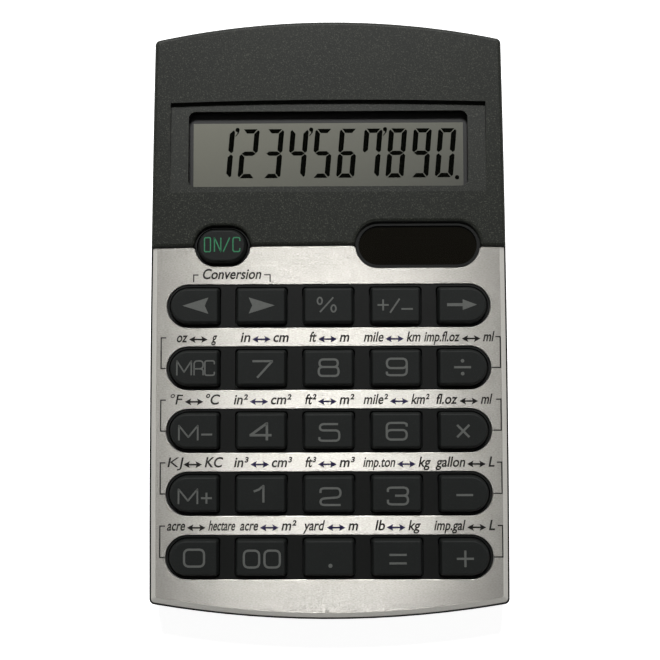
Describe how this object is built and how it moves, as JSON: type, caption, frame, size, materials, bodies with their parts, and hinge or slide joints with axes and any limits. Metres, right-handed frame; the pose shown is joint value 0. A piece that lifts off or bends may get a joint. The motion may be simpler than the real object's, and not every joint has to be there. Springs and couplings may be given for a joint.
{
  "type": "pocket conversion calculator",
  "caption": "Slim pocket calculator with a tilted display panel, a brushed metal faceplate, rows of raised keys, an oval on key and a small solar window.",
  "frame": {"origin": "centre of the body's outline, on the surface that the four feet stand on", "axes": "+X to the right of the display, +Y from the keys towards the display, +Z out of the front"},
  "size_m": [0.0706, 0.1184, 0.0114],
  "materials": {
    "case_plastic": "fine textured charcoal",
    "back_plastic": "fine textured charcoal",
    "plate_metal": "brushed sideways",
    "tape": "matte",
    "key_plastic": "satin near-black",
    "clear_lens": "clear",
    "polarizer": "grey-green film",
    "display_glass": "clear",
    "reflector": "silvery film",
    "connector_rubber": "striped rubber",
    "smoked_lens": "smoked",
    "solar_cell": "dark, four cells",
    "foam": "foam",
    "tinned_wire": "tinned",
    "dome_rubber": "translucent grey",
    "carbon": "matte carbon",
    "board": "green lacquer",
    "blob": "glossy epoxy",
    "capacitor": "tan",
    "resistor": "black",
    "screw_steel": "zinc plated",
    "cell_steel": "bright",
    "contact_steel": "nickel plated",
    "foot_rubber": "matte"
  },
  "bodies": {
    "body": {"front_case": "case_plastic", "faceplate": "plate_metal", "faceplate_tape": "tape", "display_lens": "clear_lens", "display_polarizer": "polarizer", "display_glass": "display_glass", "display_reflector": "reflector", "display_connector": "connector_rubber", "solar_lens": "smoked_lens", "solar_cell": "solar_cell", "solar_foam": "foam", "solar_lead_positive": "tinned_wire", "solar_lead_negative": "tinned_wire", "dome_sheet": "dome_rubber", "carbon_pills": "carbon", "contact_pads": "carbon", "circuit_board": "board", "chip_blob": "blob", "chip_capacitors": "capacitor", "chip_resistors": "resistor", "board_screws": "screw_steel", "back_case": "back_plastic", "case_screws": "screw_steel", "battery_door": "back_plastic", "battery_door_screw": "screw_steel", "button_cell": "cell_steel", "contact_negative": "contact_steel", "contact_positive": "contact_steel", "rubber_feet": "foot_rubber"},
    "key_convert_left_cap": {"key_convert_left": "key_plastic"},
    "key_convert_right_cap": {"key_convert_right": "key_plastic"},
    "key_percent_cap": {"key_percent": "key_plastic"},
    "key_sign_cap": {"key_sign": "key_plastic"},
    "key_delete_cap": {"key_delete": "key_plastic"},
    "key_memory_recall_cap": {"key_memory_recall": "key_plastic"},
    "key_7_cap": {"key_7": "key_plastic"},
    "key_8_cap": {"key_8": "key_plastic"},
    "key_9_cap": {"key_9": "key_plastic"},
    "key_divide_cap": {"key_divide": "key_plastic"},
    "key_memory_minus_cap": {"key_memory_minus": "key_plastic"},
    "key_4_cap": {"key_4": "key_plastic"},
    "key_5_cap": {"key_5": "key_plastic"},
    "key_6_cap": {"key_6": "key_plastic"},
    "key_multiply_cap": {"key_multiply": "key_plastic"},
    "key_memory_plus_cap": {"key_memory_plus": "key_plastic"},
    "key_1_cap": {"key_1": "key_plastic"},
    "key_2_cap": {"key_2": "key_plastic"},
    "key_3_cap": {"key_3": "key_plastic"},
    "key_subtract_cap": {"key_subtract": "key_plastic"},
    "key_0_cap": {"key_0": "key_plastic"},
    "key_00_cap": {"key_00": "key_plastic"},
    "key_point_cap": {"key_point": "key_plastic"},
    "key_equals_cap": {"key_equals": "key_plastic"},
    "key_add_cap": {"key_add": "key_plastic"},
    "key_on_clear_cap": {"key_on_clear": "key_plastic"}
  },
  "joints": [
    {"name": "press_convert_left", "type": "slide", "parent": "body", "child": "key_convert_left_cap", "axis": [0, 0, -1], "range_m": [0, 0.0009], "stiffness_N_per_m": 500, "springref_m": -0.0002, "deforming": ["dome_sheet", "carbon_pills"]},
    {"name": "press_convert_right", "type": "slide", "parent": "body", "child": "key_convert_right_cap", "axis": [0, 0, -1], "range_m": [0, 0.0009], "stiffness_N_per_m": 500, "springref_m": -0.0002, "deforming": ["dome_sheet", "carbon_pills"]},
    {"name": "press_percent", "type": "slide", "parent": "body", "child": "key_percent_cap", "axis": [0, 0, -1], "range_m": [0, 0.0009], "stiffness_N_per_m": 500, "springref_m": -0.0002, "deforming": ["dome_sheet", "carbon_pills"]},
    {"name": "press_sign", "type": "slide", "parent": "body", "child": "key_sign_cap", "axis": [0, 0, -1], "range_m": [0, 0.0009], "stiffness_N_per_m": 500, "springref_m": -0.0002, "deforming": ["dome_sheet", "carbon_pills"]},
    {"name": "press_delete", "type": "slide", "parent": "body", "child": "key_delete_cap", "axis": [0, 0, -1], "range_m": [0, 0.0009], "stiffness_N_per_m": 500, "springref_m": -0.0002, "deforming": ["dome_sheet", "carbon_pills"]},
    {"name": "press_memory_recall", "type": "slide", "parent": "body", "child": "key_memory_recall_cap", "axis": [0, 0, -1], "range_m": [0, 0.0009], "stiffness_N_per_m": 500, "springref_m": -0.0002, "deforming": ["dome_sheet", "carbon_pills"]},
    {"name": "press_7", "type": "slide", "parent": "body", "child": "key_7_cap", "axis": [0, 0, -1], "range_m": [0, 0.0009], "stiffness_N_per_m": 500, "springref_m": -0.0002, "deforming": ["dome_sheet", "carbon_pills"]},
    {"name": "press_8", "type": "slide", "parent": "body", "child": "key_8_cap", "axis": [0, 0, -1], "range_m": [0, 0.0009], "stiffness_N_per_m": 500, "springref_m": -0.0002, "deforming": ["dome_sheet", "carbon_pills"]},
    {"name": "press_9", "type": "slide", "parent": "body", "child": "key_9_cap", "axis": [0, 0, -1], "range_m": [0, 0.0009], "stiffness_N_per_m": 500, "springref_m": -0.0002, "deforming": ["dome_sheet", "carbon_pills"]},
    {"name": "press_divide", "type": "slide", "parent": "body", "child": "key_divide_cap", "axis": [0, 0, -1], "range_m": [0, 0.0009], "stiffness_N_per_m": 500, "springref_m": -0.0002, "deforming": ["dome_sheet", "carbon_pills"]},
    {"name": "press_memory_minus", "type": "slide", "parent": "body", "child": "key_memory_minus_cap", "axis": [0, 0, -1], "range_m": [0, 0.0009], "stiffness_N_per_m": 500, "springref_m": -0.0002, "deforming": ["dome_sheet", "carbon_pills"]},
    {"name": "press_4", "type": "slide", "parent": "body", "child": "key_4_cap", "axis": [0, 0, -1], "range_m": [0, 0.0009], "stiffness_N_per_m": 500, "springref_m": -0.0002, "deforming": ["dome_sheet", "carbon_pills"]},
    {"name": "press_5", "type": "slide", "parent": "body", "child": "key_5_cap", "axis": [0, 0, -1], "range_m": [0, 0.0009], "stiffness_N_per_m": 500, "springref_m": -0.0002, "deforming": ["dome_sheet", "carbon_pills"]},
    {"name": "press_6", "type": "slide", "parent": "body", "child": "key_6_cap", "axis": [0, 0, -1], "range_m": [0, 0.0009], "stiffness_N_per_m": 500, "springref_m": -0.0002, "deforming": ["dome_sheet", "carbon_pills"]},
    {"name": "press_multiply", "type": "slide", "parent": "body", "child": "key_multiply_cap", "axis": [0, 0, -1], "range_m": [0, 0.0009], "stiffness_N_per_m": 500, "springref_m": -0.0002, "deforming": ["dome_sheet", "carbon_pills"]},
    {"name": "press_memory_plus", "type": "slide", "parent": "body", "child": "key_memory_plus_cap", "axis": [0, 0, -1], "range_m": [0, 0.0009], "stiffness_N_per_m": 500, "springref_m": -0.0002, "deforming": ["dome_sheet", "carbon_pills"]},
    {"name": "press_1", "type": "slide", "parent": "body", "child": "key_1_cap", "axis": [0, 0, -1], "range_m": [0, 0.0009], "stiffness_N_per_m": 500, "springref_m": -0.0002, "deforming": ["dome_sheet", "carbon_pills"]},
    {"name": "press_2", "type": "slide", "parent": "body", "child": "key_2_cap", "axis": [0, 0, -1], "range_m": [0, 0.0009], "stiffness_N_per_m": 500, "springref_m": -0.0002, "deforming": ["dome_sheet", "carbon_pills"]},
    {"name": "press_3", "type": "slide", "parent": "body", "child": "key_3_cap", "axis": [0, 0, -1], "range_m": [0, 0.0009], "stiffness_N_per_m": 500, "springref_m": -0.0002, "deforming": ["dome_sheet", "carbon_pills"]},
    {"name": "press_subtract", "type": "slide", "parent": "body", "child": "key_subtract_cap", "axis": [0, 0, -1], "range_m": [0, 0.0009], "stiffness_N_per_m": 500, "springref_m": -0.0002, "deforming": ["dome_sheet", "carbon_pills"]},
    {"name": "press_0", "type": "slide", "parent": "body", "child": "key_0_cap", "axis": [0, 0, -1], "range_m": [0, 0.0009], "stiffness_N_per_m": 500, "springref_m": -0.0002, "deforming": ["dome_sheet", "carbon_pills"]},
    {"name": "press_00", "type": "slide", "parent": "body", "child": "key_00_cap", "axis": [0, 0, -1], "range_m": [0, 0.0009], "stiffness_N_per_m": 500, "springref_m": -0.0002, "deforming": ["dome_sheet", "carbon_pills"]},
    {"name": "press_point", "type": "slide", "parent": "body", "child": "key_point_cap", "axis": [0, 0, -1], "range_m": [0, 0.0009], "stiffness_N_per_m": 500, "springref_m": -0.0002, "deforming": ["dome_sheet", "carbon_pills"]},
    {"name": "press_equals", "type": "slide", "parent": "body", "child": "key_equals_cap", "axis": [0, 0, -1], "range_m": [0, 0.0009], "stiffness_N_per_m": 500, "springref_m": -0.0002, "deforming": ["dome_sheet", "carbon_pills"]},
    {"name": "press_add", "type": "slide", "parent": "body", "child": "key_add_cap", "axis": [0, 0, -1], "range_m": [0, 0.0009], "stiffness_N_per_m": 500, "springref_m": -0.0002, "deforming": ["dome_sheet", "carbon_pills"]},
    {"name": "press_on_clear", "type": "slide", "parent": "body", "child": "key_on_clear_cap", "axis": [0, 0, -1], "range_m": [0, 0.0009], "stiffness_N_per_m": 500, "springref_m": -0.0002, "deforming": ["dome_sheet", "carbon_pills"]}
  ]
}
